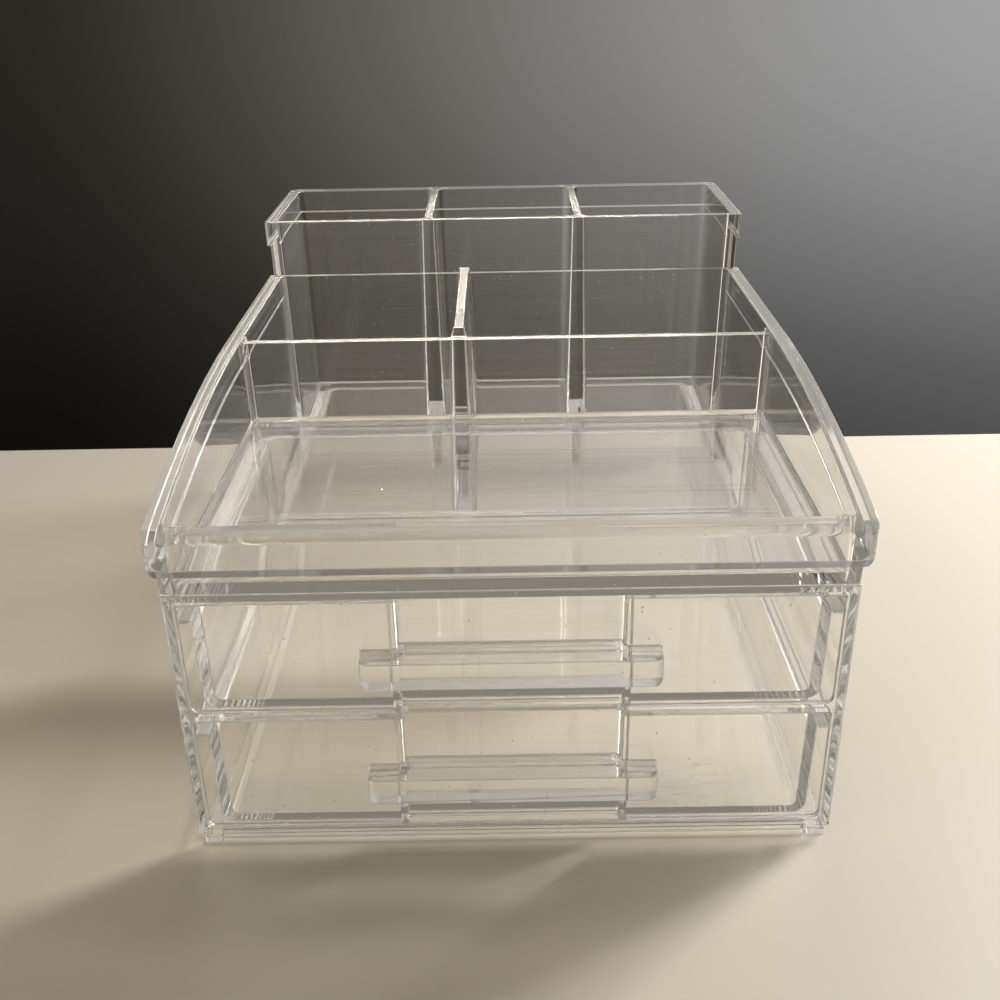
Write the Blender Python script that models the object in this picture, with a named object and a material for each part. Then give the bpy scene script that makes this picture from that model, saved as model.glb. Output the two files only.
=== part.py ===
"""Clear acrylic desk organizer: a stepped drawer case, two drawers and a lift-off top tray.

The front faces -Y, +X is to the right and Z is up. Heights are measured from the table,
depths from the front plane of the case, widths from the middle. All lengths are metres.
"""

import math

import bmesh
import bpy

MM = 0.001

# Clearances between pieces
SLIDE_CLEARANCE = 0.3 * MM
REST_CLEARANCE = 0.3 * MM
PANEL_SIDE_CLEARANCE = 0.6 * MM
PANEL_TOP_CLEARANCE = 1.0 * MM
PANEL_BASE_CLEARANCE = 0.5 * MM
PANEL_MIDDLE_CLEARANCE = 3.4 * MM
RAIL_SIDE_CLEARANCE = 1.1 * MM
RAIL_FRONT_CLEARANCE = 1.2 * MM
UPPER_REAR_CLEARANCE = 1.6 * MM
LOWER_REAR_CLEARANCE = 6.0 * MM
TRAY_UNDER_CLEARANCE = 0.6 * MM
OVERRUN = 4.0 * MM

# Drawer case
CASE_WIDTH = 238.0 * MM
CASE_DEPTH = 338.0 * MM
CASE_WALL = 3.9 * MM
CASE_REAR_WALL = 4.0 * MM
CASE_CORNER_RADIUS = 1.4 * MM
FOOT_HEIGHT = 5.1 * MM
FOOT_SIZE = 7.0 * MM
FOOT_SIDE_INSET = 1.5 * MM
FOOT_END_INSET = 0.8 * MM
FOOT_RADIUS = 1.2 * MM
SKIRT_INSET = 1.8 * MM
SKIRT_WIDTH = 1.8 * MM
SKIRT_DROP = 3.8 * MM
BASE_THICKNESS = 3.0 * MM
UPPER_BOX_DEPTH = 150.0 * MM
UPPER_REAR_WALL = 2.8 * MM
TOP_PANEL_THICKNESS = 2.7 * MM
BAY_CORNER_RADIUS = 1.0 * MM
RAIL_WIDTH = 4.1 * MM
RAIL_THICKNESS = 2.0 * MM
RAIL_END_RADIUS = 1.0 * MM

# Drawer fronts
LOWER_PANEL_HEIGHT = 48.6 * MM
UPPER_PANEL_HEIGHT = 45.2 * MM
PANEL_THICKNESS = 3.5 * MM
PANEL_LOWER_RADIUS = 3.0 * MM
PANEL_UPPER_RADIUS = 0.8 * MM
RECESS_WIDTH = 78.4 * MM
RECESS_DEPTH = 4.0 * MM
RECESS_RADIUS = 1.4 * MM
RECESS_WEB = 2.8 * MM
HANDLE_LENGTH = 104.4 * MM
HANDLE_PROJECTION = 9.6 * MM
HANDLE_HEIGHT = 10.8 * MM
HANDLE_END_RADIUS = 3.0 * MM
HANDLE_LOWER_RADIUS = 3.0 * MM
HANDLE_UPPER_RADIUS = 1.0 * MM
UPPER_HANDLE_DROP = 19.0 * MM
LOWER_HANDLE_DROP = 20.0 * MM

# Drawer tubs
TUB_WALL = 3.3 * MM
TUB_FLOOR = 2.9 * MM
TUB_LIFT = 1.5 * MM
TUB_EDGE_RADIUS = 5.0 * MM
TUB_INNER_RADIUS = 2.6 * MM
TUB_CORNER_RADIUS = 5.5 * MM
TUB_DRAFT_DEGREES = 1.0
FLANGE_HEIGHT = 5.0 * MM
FLANGE_DROP = 2.1 * MM
FLANGE_EDGE_CLEARANCE = 0.4 * MM

# Top tray
TRAY_WALL = 4.0 * MM
TRAY_FLOOR = 2.6 * MM
TRAY_DRAFT_DEGREES = 1.0
TRAY_CORNER_RADIUS = 3.0 * MM
TRAY_SIDE_HEIGHT = 151.1 * MM
TRAY_SWEEP_DROP = 17.2 * MM
TRAY_LIP_RADIUS = 14.0 * MM
TALL_HEIGHT = 178.9 * MM
TALL_FRONT = 255.0 * MM
TALL_FRONT_WALL = 3.5 * MM
CROSS_WALL = 3.6 * MM
CROSS_WALL_DROP = 1.8 * MM
CROSS_WALL_FILLET = 1.5 * MM
MIDDLE_DIVIDER_SHIFT = 20.5 * MM
MIDDLE_DIVIDER_RISE = 2.4 * MM
DIVIDER_WALL = 4.0 * MM
DIVIDER_BLANK_EXTRA = 0.6 * MM
CUP_DIVIDER_OFFSET = 38.6 * MM
CAVITY_CORNER_RADIUS = 2.6 * MM
CAVITY_FLOOR_RADIUS = 2.0 * MM

# Out-turned rim round the tray
COLLAR_PROJECTION = 3.0 * MM
COLLAR_HEIGHT = 12.0 * MM
TALL_COLLAR_HEIGHT = 12.2 * MM
COLLAR_CORNER_RADIUS = 4.5 * MM
COLLAR_END_RADIUS = 2.6 * MM
COLLAR_END_OVERLAP = 3.0 * MM

# Facets of the rounded forms
CORNER_STEPS = 5
FLOOR_STEPS = 3
SWEEP_STEPS = 14
LIP_STEPS = 5

# Heights and depths that follow from the sizes above
CASE_HALF = CASE_WIDTH / 2
BAY_HALF = CASE_HALF - CASE_WALL
BASE_TOP = FOOT_HEIGHT + BASE_THICKNESS
LOWER_PANEL_BOTTOM = BASE_TOP + PANEL_BASE_CLEARANCE
LOWER_PANEL_TOP = LOWER_PANEL_BOTTOM + LOWER_PANEL_HEIGHT
UPPER_PANEL_BOTTOM = LOWER_PANEL_TOP + PANEL_MIDDLE_CLEARANCE
UPPER_PANEL_TOP = UPPER_PANEL_BOTTOM + UPPER_PANEL_HEIGHT
BAY_TOP = UPPER_PANEL_TOP + PANEL_TOP_CLEARANCE
UPPER_BOX_TOP = BAY_TOP + TOP_PANEL_THICKNESS
PANEL_HALF = BAY_HALF - PANEL_SIDE_CLEARANCE
LOWER_FLANGE_TOP = LOWER_PANEL_TOP - FLANGE_DROP
UPPER_FLANGE_TOP = UPPER_PANEL_TOP - FLANGE_DROP
LOWER_BOX_TOP = LOWER_FLANGE_TOP + TRAY_UNDER_CLEARANCE - REST_CLEARANCE
TUB_HALF = BAY_HALF - RAIL_WIDTH - RAIL_SIDE_CLEARANCE
TRAY_HALF = CASE_HALF
TRAY_SHELF = UPPER_BOX_TOP + REST_CLEARANCE
TRAY_BOTTOM = LOWER_BOX_TOP + REST_CLEARANCE
TRAY_DEEP_FRONT = UPPER_BOX_DEPTH + REST_CLEARANCE
TRAY_REAR = CASE_DEPTH
CROSS_FRONT = UPPER_BOX_DEPTH
CROSS_REAR = CROSS_FRONT + CROSS_WALL
CROSS_TOP = TRAY_SIDE_HEIGHT - CROSS_WALL_DROP
DIVIDER_TOP = TRAY_SIDE_HEIGHT + MIDDLE_DIVIDER_RISE
COLLAR_HALF = TRAY_HALF + COLLAR_PROJECTION
COLLAR_REAR = TRAY_REAR + COLLAR_PROJECTION
MIDDLE_OF_DEPTH = (COLLAR_REAR - HANDLE_PROJECTION) / 2


def clear_scene():
    """Remove whatever the file holds, so that the part stands alone."""
    for item in list(bpy.data.objects):
        bpy.data.objects.remove(item, do_unlink=True)


def clear_plastic(name, colour, roughness):
    """Clear moulded acrylic as the viewport and a plain render show it."""
    material = bpy.data.materials.new(name)
    material.use_nodes = True
    shader = material.node_tree.nodes["Principled BSDF"]
    shader.inputs["Base Color"].default_value = (*colour, 1.0)
    shader.inputs["Roughness"].default_value = roughness
    shader.inputs["Metallic"].default_value = 0.0
    shader.inputs["IOR"].default_value = 1.49
    shader.inputs["Transmission Weight"].default_value = 1.0
    material.diffuse_color = (*colour, 1.0)
    return material


def arc(centre, radius, start_degrees, end_degrees, steps):
    """Points of an arc in a plane, from one angle to the other."""
    points = []
    for step in range(steps + 1):
        turn = math.radians(start_degrees + (end_degrees - start_degrees) * step / steps)
        points.append((centre[0] + radius * math.cos(turn), centre[1] + radius * math.sin(turn)))
    return points


def rounded_outline(low, high, low_radius, high_radius, steps=CORNER_STEPS):
    """Rectangle from low to high, its two corners on the low side and its two on the high
    side with radii of their own, counter-clockwise from the low left corner."""
    (left, bottom), (right, top) = low, high
    outline = []
    outline += arc((left + low_radius, bottom + low_radius), low_radius, 180, 270, steps)
    outline += arc((right - low_radius, bottom + low_radius), low_radius, 270, 360, steps)
    outline += arc((right - high_radius, top - high_radius), high_radius, 0, 90, steps)
    outline += arc((left + high_radius, top - high_radius), high_radius, 90, 180, steps)
    return outline


def mesh_object(name, rings):
    """Closed solid through rings of equally many points, capped at both ends."""
    shape = bmesh.new()
    loops = [[shape.verts.new(point) for point in ring] for ring in rings]
    count = len(loops[0])
    for first, second in zip(loops, loops[1:]):
        for index in range(count):
            following = (index + 1) % count
            shape.faces.new((first[index], first[following], second[following], second[index]))
    shape.faces.new(loops[0])
    shape.faces.new(loops[-1])
    bmesh.ops.recalc_face_normals(shape, faces=shape.faces)
    mesh = bpy.data.meshes.new(name)
    shape.to_mesh(mesh)
    shape.free()
    solid = bpy.data.objects.new(name, mesh)
    bpy.context.scene.collection.objects.link(solid)
    return solid


def upright_prism(name, outline, bottom, top):
    """Plan outline drawn up from bottom to top."""
    return mesh_object(name, [[(x, y, z) for x, y in outline] for z in (bottom, top)])


def cross_prism(name, profile, left, right):
    """Side profile in depth and height, drawn out from left to right."""
    return mesh_object(name, [[(x, y, z) for y, z in profile] for x in (left, right)])


def deep_prism(name, face, front, rear):
    """Front-view outline in width and height, drawn back from front to rear."""
    return mesh_object(name, [[(x, y, z) for x, z in face] for y in (front, rear)])


def drafted_cavity(name, low, high, floor, top, draft_degrees, corner_radius, floor_radius):
    """Moulded hollow: low and high are its plan corners at the top, its walls lean in
    towards a floor whose edge is rounded, as the core of a mould is."""
    slope = math.tan(math.radians(draft_degrees))
    rings = []
    for step in range(FLOOR_STEPS + 1):
        turn = math.radians(90 * step / FLOOR_STEPS)
        height = floor + floor_radius * (1 - math.cos(turn))
        lean = floor_radius * (1 - math.sin(turn))
        rings.append((height, lean))
    rings.append((top, 0))
    solid_rings = []
    for height, lean in rings:
        inset = (top - height) * slope + lean
        radius = corner_radius - lean
        outline = rounded_outline(
            (low[0] + inset, low[1] + inset), (high[0] - inset, high[1] - inset), radius, radius
        )
        solid_rings.append([(x, y, height) for x, y in outline])
    return mesh_object(name, solid_rings)


def combine(target, tool, operation):
    """Boolean that stays live on the target. The tool is left out of the part."""
    step = target.modifiers.new(tool.name, "BOOLEAN")
    step.operation = operation
    step.solver = "EXACT"
    step.object = tool
    tool.hide_render = True
    tool.display_type = "WIRE"
    tool.parent = target


def finish(solid, material, location, root):
    """Give a node its material, place it, and shade its rounded forms smooth."""
    solid.data.materials.append(material)
    for tool in solid.children_recursive:
        tool.data.materials.append(material)
        tool.data.shade_smooth()
        tool.data.set_sharp_from_angle(angle=math.radians(35))
    solid.data.shade_smooth()
    solid.data.set_sharp_from_angle(angle=math.radians(35))
    solid.location = location
    solid.parent = root


def case_feet(case):
    """A small square foot under each corner, moulded with the base."""
    outer = CASE_HALF - FOOT_SIDE_INSET
    rows = {"front": FOOT_END_INSET, "rear": CASE_DEPTH - FOOT_END_INSET - FOOT_SIZE}
    columns = {"left": -outer, "right": outer - FOOT_SIZE}
    for row, near in rows.items():
        for column, left in columns.items():
            outline = rounded_outline(
                (left, near), (left + FOOT_SIZE, near + FOOT_SIZE), FOOT_RADIUS, FOOT_RADIUS
            )
            top = FOOT_HEIGHT + BASE_THICKNESS / 2
            foot = upright_prism(f"foot_{row}_{column}", outline, 0, top)
            combine(case, foot, "UNION")


def case_skirt(case):
    """A low rib round the underside of the base, set in from its edge."""
    low = FOOT_HEIGHT - SKIRT_DROP
    rings = []
    for inset, bottom in ((SKIRT_INSET, low), (SKIRT_INSET + SKIRT_WIDTH, low - OVERRUN)):
        outline = rounded_outline(
            (-CASE_HALF + inset, inset),
            (CASE_HALF - inset, CASE_DEPTH - inset),
            CASE_CORNER_RADIUS,
            CASE_CORNER_RADIUS,
        )
        top = FOOT_HEIGHT + BASE_THICKNESS / 2
        rings.append(upright_prism(f"skirt_{len(rings)}", outline, bottom, top))
    combine(rings[0], rings[1], "DIFFERENCE")
    combine(case, rings[0], "UNION")


def case_rails(case):
    """A ledge along each side wall of each bay, under the flange of its drawer."""
    bays = {
        "lower": (LOWER_FLANGE_TOP, CASE_DEPTH - CASE_REAR_WALL / 2),
        "upper": (UPPER_FLANGE_TOP, UPPER_BOX_DEPTH - UPPER_REAR_WALL / 2),
    }
    for bay, (flange_top, rear) in bays.items():
        top = flange_top - FLANGE_HEIGHT - SLIDE_CLEARANCE
        front = PANEL_THICKNESS + RAIL_FRONT_CLEARANCE
        for side, sign in (("left", -1), ("right", 1)):
            ends = sorted((sign * (BAY_HALF - RAIL_WIDTH), sign * (BAY_HALF + CASE_WALL / 2)))
            outline = rounded_outline(
                (ends[0], front), (ends[1], rear), RAIL_END_RADIUS, RAIL_END_RADIUS
            )
            rail = upright_prism(f"rail_{bay}_{side}", outline, top - RAIL_THICKNESS, top)
            combine(case, rail, "UNION")


def drawer_case():
    """Stepped case: a full-depth lower box whose rear half is open on top, and a short
    upper box with a top panel, one space inside, open at the front."""
    profile = [
        (-OVERRUN, FOOT_HEIGHT),
        (CASE_DEPTH + OVERRUN, FOOT_HEIGHT),
        (CASE_DEPTH + OVERRUN, LOWER_BOX_TOP),
        (UPPER_BOX_DEPTH, LOWER_BOX_TOP),
        (UPPER_BOX_DEPTH, UPPER_BOX_TOP),
        (-OVERRUN, UPPER_BOX_TOP),
    ]
    case = cross_prism("drawer_case", profile, -CASE_HALF - OVERRUN, CASE_HALF + OVERRUN)
    plan = rounded_outline(
        (-CASE_HALF, 0), (CASE_HALF, CASE_DEPTH), CASE_CORNER_RADIUS, CASE_CORNER_RADIUS
    )
    outer = upright_prism("case_outline", plan, 0, UPPER_BOX_TOP + OVERRUN)
    combine(case, outer, "INTERSECT")
    lower_face = rounded_outline(
        (-BAY_HALF, BASE_TOP),
        (BAY_HALF, LOWER_PANEL_TOP + PANEL_MIDDLE_CLEARANCE / 2),
        BAY_CORNER_RADIUS,
        BAY_CORNER_RADIUS / 2,
    )
    lower_bay = deep_prism("lower_bay", lower_face, -OVERRUN, CASE_DEPTH - CASE_REAR_WALL)
    combine(case, lower_bay, "DIFFERENCE")
    upper_face = rounded_outline(
        (-BAY_HALF, LOWER_BOX_TOP - BASE_THICKNESS),
        (BAY_HALF, BAY_TOP),
        BAY_CORNER_RADIUS / 2,
        BAY_CORNER_RADIUS,
    )
    upper_bay = deep_prism("upper_bay", upper_face, -OVERRUN, UPPER_BOX_DEPTH - UPPER_REAR_WALL)
    combine(case, upper_bay, "DIFFERENCE")
    case_skirt(case)
    case_feet(case)
    case_rails(case)
    return case


def stepped_front(name, height):
    """Drawer front of even thickness whose middle steps back over its full height."""
    inner = RECESS_WIDTH / 2
    outer = inner + RECESS_WEB
    deep = RECESS_DEPTH + PANEL_THICKNESS
    small = RECESS_RADIUS
    outline = [(-PANEL_HALF, 0)]
    outline += arc((-inner - small, small), small, 270, 360, FLOOR_STEPS)
    outline += arc((-inner + small, RECESS_DEPTH - small), small, 180, 90, FLOOR_STEPS)
    outline += arc((inner - small, RECESS_DEPTH - small), small, 90, 0, FLOOR_STEPS)
    outline += arc((inner + small, small), small, 180, 270, FLOOR_STEPS)
    outline += [(PANEL_HALF, 0), (PANEL_HALF, PANEL_THICKNESS)]
    outline += [(outer, PANEL_THICKNESS), (outer, deep), (-outer, deep), (-outer, PANEL_THICKNESS)]
    outline += [(-PANEL_HALF, PANEL_THICKNESS)]
    front = upright_prism(name, outline, -OVERRUN, height + OVERRUN)
    face = rounded_outline(
        (-PANEL_HALF, 0), (PANEL_HALF, height), PANEL_LOWER_RADIUS, PANEL_UPPER_RADIUS
    )
    mask = deep_prism(f"{name}_outline", face, -OVERRUN, deep + OVERRUN)
    combine(front, mask, "INTERSECT")
    return front


def bar_handle(name, top):
    """Solid bar across the recess, carried by the side parts and filled in behind."""
    half = HANDLE_LENGTH / 2
    seat = PANEL_THICKNESS / 2
    stem = RECESS_WIDTH / 2 + RECESS_WEB / 2
    radius = HANDLE_END_RADIUS
    outline = arc((-half + radius, -HANDLE_PROJECTION + radius), radius, 180, 270, CORNER_STEPS)
    outline += arc((half - radius, -HANDLE_PROJECTION + radius), radius, 270, 360, CORNER_STEPS)
    outline += [(half, seat), (stem, seat), (stem, RECESS_DEPTH + seat)]
    outline += [(-stem, RECESS_DEPTH + seat), (-stem, seat), (-half, seat)]
    bottom = top - HANDLE_HEIGHT
    bar = upright_prism(name, outline, bottom - OVERRUN, top + OVERRUN)
    face = rounded_outline(
        (-half, bottom), (half, top), HANDLE_LOWER_RADIUS, HANDLE_UPPER_RADIUS
    )
    rear = RECESS_DEPTH + PANEL_THICKNESS
    mask = deep_prism(f"{name}_outline", face, -HANDLE_PROJECTION - OVERRUN, rear)
    combine(bar, mask, "INTERSECT")
    return bar


def drawer_tub(name, top, depth):
    """Outside of the tub: leaning sides and rear, the lower edge rounded."""
    slope = math.tan(math.radians(TUB_DRAFT_DEGREES))
    seat = PANEL_THICKNESS / 2
    rings = []
    levels = []
    for step in range(CORNER_STEPS + 1):
        turn = math.radians(90 * step / CORNER_STEPS)
        rise = TUB_EDGE_RADIUS * (1 - math.cos(turn))
        levels.append((TUB_LIFT + rise, TUB_EDGE_RADIUS * (1 - math.sin(turn))))
    levels.append((top, 0))
    for height, lean in levels:
        inset = (top - height) * slope + lean
        outline = rounded_outline(
            (-TUB_HALF + inset, seat),
            (TUB_HALF - inset, depth - inset),
            RECESS_RADIUS,
            TUB_CORNER_RADIUS - lean,
        )
        rings.append([(x, y, height) for x, y in outline])
    return mesh_object(name, rings)


def drawer_front(name, height, handle_drop):
    """Stepped front with its bar handle."""
    front = stepped_front(name, height)
    combine(front, bar_handle(f"{name}_handle", height - handle_drop), "UNION")
    return front


def hollow_tub(name, height, depth):
    """Tub with a flange along each side that rides on the rails of the case. It is open
    in front, where it ends at the back of the stepped drawer front."""
    top = height - FLANGE_DROP
    body = drawer_tub(name, top, depth)
    reach = BAY_HALF - FLANGE_EDGE_CLEARANCE
    for side, sign in (("left", -1), ("right", 1)):
        ends = sorted((sign * (TUB_HALF - TUB_WALL / 2), sign * reach))
        outline = rounded_outline(
            (ends[0], PANEL_THICKNESS / 2),
            (ends[1], depth - TUB_CORNER_RADIUS),
            RECESS_RADIUS,
            TUB_WALL / 2,
        )
        flange = upright_prism(f"{name}_flange_{side}", outline, top - FLANGE_HEIGHT, top)
        combine(body, flange, "UNION")
    cavity = drafted_cavity(
        f"{name}_inside",
        (-TUB_HALF + TUB_WALL, -OVERRUN),
        (TUB_HALF - TUB_WALL, depth - TUB_WALL),
        TUB_LIFT + TUB_FLOOR,
        top + OVERRUN,
        TUB_DRAFT_DEGREES,
        TUB_CORNER_RADIUS - TUB_WALL / 2,
        TUB_INNER_RADIUS,
    )
    combine(body, cavity, "DIFFERENCE")
    reach = BAY_HALF + OVERRUN
    step = RECESS_WIDTH / 2 + RECESS_WEB
    deep = RECESS_DEPTH + PANEL_THICKNESS
    outline = [(-reach, -OVERRUN), (reach, -OVERRUN), (reach, PANEL_THICKNESS)]
    outline += [(step, PANEL_THICKNESS), (step, deep), (-step, deep), (-step, PANEL_THICKNESS)]
    outline += [(-reach, PANEL_THICKNESS)]
    room = upright_prism(f"{name}_room_for_front", outline, -OVERRUN, height + OVERRUN)
    combine(body, room, "DIFFERENCE")
    return body


def side_sweep(front, drop):
    """Top edge of the tray's side walls, from the tall section to the front lip. It runs
    level over the middle row and then falls in a widening curve to the rounded lip."""
    level = TRAY_SIDE_HEIGHT - drop
    start = front + TRAY_WALL + COLLAR_PROJECTION
    points = []
    for step in range(SWEEP_STEPS + 1):
        share = step / SWEEP_STEPS
        depth = CROSS_FRONT + (start - CROSS_FRONT) * share
        points.append((depth, level - TRAY_SWEEP_DROP * share**2))
    end = points[-1]
    fall = math.atan2(2 * TRAY_SWEEP_DROP, CROSS_FRONT - start)
    radius = TRAY_LIP_RADIUS
    centre = (end[0] + radius * math.sin(fall), end[1] - radius * math.cos(fall))
    last = 180 - math.degrees(math.acos((centre[0] - front) / radius))
    points += arc(centre, radius, 90 + math.degrees(fall), last, LIP_STEPS)[1:]
    return points


def tray_body():
    """Outer form of the tray: shallow over the upper box, deep behind it, tall at the
    rear, with sides that lean out by the draft of the mould."""
    slope = math.tan(math.radians(TRAY_DRAFT_DEGREES))
    buried = COLLAR_HEIGHT / 2
    sweep = side_sweep(-COLLAR_PROJECTION, buried)
    profile = [(TRAY_DEEP_FRONT, TRAY_SHELF), (TRAY_DEEP_FRONT, TRAY_BOTTOM)]
    profile += [(COLLAR_REAR + OVERRUN, TRAY_BOTTOM), (COLLAR_REAR + OVERRUN, TALL_HEIGHT - buried)]
    profile += [(TALL_FRONT, TALL_HEIGHT - buried), (TALL_FRONT, TRAY_SIDE_HEIGHT - buried)]
    profile += sweep
    profile += [(-COLLAR_PROJECTION - OVERRUN, sweep[-1][1])]
    profile += [(-COLLAR_PROJECTION - OVERRUN, TRAY_SHELF)]
    body = cross_prism("top_tray", profile, -COLLAR_HALF - OVERRUN, COLLAR_HALF + OVERRUN)
    rings = []
    for height in (TRAY_BOTTOM - OVERRUN, TALL_HEIGHT + OVERRUN):
        lean = (height - TRAY_SHELF) * slope
        outline = rounded_outline(
            (-TRAY_HALF - lean, -lean),
            (TRAY_HALF + lean, TRAY_REAR - 2 * REST_CLEARANCE + lean),
            TRAY_CORNER_RADIUS,
            TRAY_CORNER_RADIUS,
        )
        rings.append([(x, y, height) for x, y in outline])
    combine(body, mesh_object("tray_outline", rings), "INTERSECT")
    return body


def swept_collar():
    """Rim band along the front and the curved sides, level where the sides are level."""
    sweep = side_sweep(-COLLAR_PROJECTION, 0)
    rear = TALL_FRONT + COLLAR_END_OVERLAP
    lower_edge = [(y, z - COLLAR_HEIGHT) for y, z in reversed(sweep)]
    front_edge = [(-COLLAR_PROJECTION - OVERRUN, sweep[-1][1])]
    front_edge += [(-COLLAR_PROJECTION - OVERRUN, lower_edge[0][1])]
    profile = [(rear + OVERRUN, TRAY_SIDE_HEIGHT)] + sweep + front_edge + lower_edge
    profile += [(rear + OVERRUN, TRAY_SIDE_HEIGHT - COLLAR_HEIGHT)]
    band = cross_prism("swept_collar", profile, -COLLAR_HALF - OVERRUN, COLLAR_HALF + OVERRUN)
    plan = rounded_outline(
        (-COLLAR_HALF, -COLLAR_PROJECTION),
        (COLLAR_HALF, rear),
        COLLAR_CORNER_RADIUS,
        COLLAR_END_RADIUS,
    )
    outline = upright_prism("swept_collar_outline", plan, TRAY_SHELF, TALL_HEIGHT)
    combine(band, outline, "INTERSECT")
    return band


def tall_collar():
    """Rim band round the sides and the rear of the three cups."""
    plan = rounded_outline(
        (-COLLAR_HALF, TALL_FRONT), (COLLAR_HALF, COLLAR_REAR), RECESS_RADIUS, COLLAR_CORNER_RADIUS
    )
    return upright_prism("tall_collar", plan, TALL_HEIGHT - TALL_COLLAR_HEIGHT, TALL_HEIGHT)


def tray_hollows():
    """The six compartments and the lowered top of the cross wall."""
    slope = math.tan(math.radians(TRAY_DRAFT_DEGREES))
    over = TALL_HEIGHT + OVERRUN
    inner = TRAY_HALF - TRAY_WALL + (over - TRAY_SHELF) * slope
    style = (TRAY_DRAFT_DEGREES, CAVITY_CORNER_RADIUS, CAVITY_FLOOR_RADIUS)
    lean = (over - CROSS_TOP) * slope
    half_divider = DIVIDER_WALL / 2
    deep_floor = TRAY_BOTTOM + TRAY_FLOOR
    hollows = [
        drafted_cavity(
            "front_row",
            (-inner, TRAY_WALL - lean),
            (inner, CROSS_FRONT + lean),
            TRAY_SHELF + TRAY_FLOOR,
            over,
            *style,
        )
    ]
    divider_left = -MIDDLE_DIVIDER_SHIFT - half_divider + (over - DIVIDER_TOP) * slope
    divider_right = -MIDDLE_DIVIDER_SHIFT + half_divider - (over - DIVIDER_TOP) * slope
    middle_front = CROSS_REAR - lean
    middle_rear = TALL_FRONT - REST_CLEARANCE / 2 + lean
    low_over = DIVIDER_TOP + OVERRUN
    fall = (over - low_over) * slope
    hollows.append(
        drafted_cavity(
            "middle_left",
            (-inner + fall, middle_front + fall),
            (divider_left - fall, middle_rear - fall),
            deep_floor,
            low_over,
            *style,
        )
    )
    hollows.append(
        drafted_cavity(
            "middle_right",
            (divider_right + fall, middle_front + fall),
            (inner - fall, middle_rear - fall),
            deep_floor,
            low_over,
            *style,
        )
    )
    top_inner = inner - OVERRUN * slope
    cup_front = TALL_FRONT + TALL_FRONT_WALL
    cup_rear = TRAY_REAR - TRAY_WALL
    rise = OVERRUN * slope
    near = CUP_DIVIDER_OFFSET - half_divider
    far = CUP_DIVIDER_OFFSET + half_divider
    spans = {"left": (-top_inner, -far), "middle": (-near, near), "right": (far, top_inner)}
    for cup, (left, right) in spans.items():
        hollows.append(
            drafted_cavity(
                f"cup_{cup}",
                (left - rise, cup_front - rise),
                (right + rise, cup_rear + rise),
                deep_floor,
                over,
                *style,
            )
        )
    crest_half = inner - (over - CROSS_TOP) * slope - REST_CLEARANCE
    face = rounded_outline(
        (-crest_half, CROSS_TOP),
        (crest_half, DIVIDER_TOP + OVERRUN),
        CROSS_WALL_FILLET,
        CROSS_WALL_FILLET,
    )
    hollows.append(
        deep_prism("cross_wall_top", face, CROSS_FRONT - OVERRUN, CROSS_REAR + REST_CLEARANCE)
    )
    return hollows


def top_tray():
    """One moulding: stepped body with its rim, one wide compartment in front, two deep
    ones in the middle and three tall cups at the rear."""
    tray = tray_body()
    combine(tray, swept_collar(), "UNION")
    combine(tray, tall_collar(), "UNION")
    half = DIVIDER_WALL / 2 + DIVIDER_BLANK_EXTRA
    outline = rounded_outline(
        (-MIDDLE_DIVIDER_SHIFT - half, CROSS_FRONT + REST_CLEARANCE),
        (-MIDDLE_DIVIDER_SHIFT + half, TALL_FRONT + TALL_FRONT_WALL / 2),
        RECESS_RADIUS,
        RECESS_RADIUS,
    )
    rib = upright_prism("middle_divider", outline, TRAY_SHELF, DIVIDER_TOP)
    combine(tray, rib, "UNION")
    for hollow in tray_hollows():
        combine(tray, hollow, "DIFFERENCE")
    return tray


def build():
    """Make the four mouldings and stand them in their shared frame. The lower drawer is one
    moulding in two nodes, its front and its tub, which meet without overlap."""
    clear_scene()
    root = bpy.data.objects.new("organizer", None)
    root.location = (0, -MIDDLE_OF_DEPTH, 0)
    bpy.context.scene.collection.objects.link(root)
    case_plastic = clear_plastic("case_acrylic", (0.93, 0.95, 0.96), 0.04)
    tray_plastic = clear_plastic("tray_acrylic", (0.94, 0.95, 0.95), 0.03)
    lower_plastic = clear_plastic("lower_drawer_acrylic", (0.94, 0.94, 0.93), 0.04)
    upper_plastic = clear_plastic("upper_drawer_acrylic", (0.94, 0.94, 0.93), 0.04)
    finish(drawer_case(), case_plastic, (0, 0, 0), root)
    finish(top_tray(), tray_plastic, (0, 0, 0), root)
    lower_depth = CASE_DEPTH - CASE_REAR_WALL - LOWER_REAR_CLEARANCE
    upper_depth = UPPER_BOX_DEPTH - UPPER_REAR_WALL - UPPER_REAR_CLEARANCE
    lower_front = drawer_front("lower_drawer_front", LOWER_PANEL_HEIGHT, LOWER_HANDLE_DROP)
    lower_tub = hollow_tub("lower_drawer_tub", LOWER_PANEL_HEIGHT, lower_depth)
    finish(lower_front, lower_plastic, (0, 0, LOWER_PANEL_BOTTOM), root)
    finish(lower_tub, lower_plastic, (0, 0, LOWER_PANEL_BOTTOM), root)
    upper = hollow_tub("upper_drawer", UPPER_PANEL_HEIGHT, upper_depth)
    upper_front = drawer_front("upper_drawer_front", UPPER_PANEL_HEIGHT, UPPER_HANDLE_DROP)
    combine(upper, upper_front, "UNION")
    finish(upper, upper_plastic, (0, 0, UPPER_PANEL_BOTTOM), root)


build()
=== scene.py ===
"""Clear acrylic makeup organizer: the four mouldings, their finish, a table and soft light.

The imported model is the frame. Each moulding is remade from a copy of its solids with the
rounded edges of a polished mould, joined where one moulding has two nodes, and dressed in
clear acrylic. Lengths are metres, the drawers face -Y and Z is up.
"""

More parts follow.
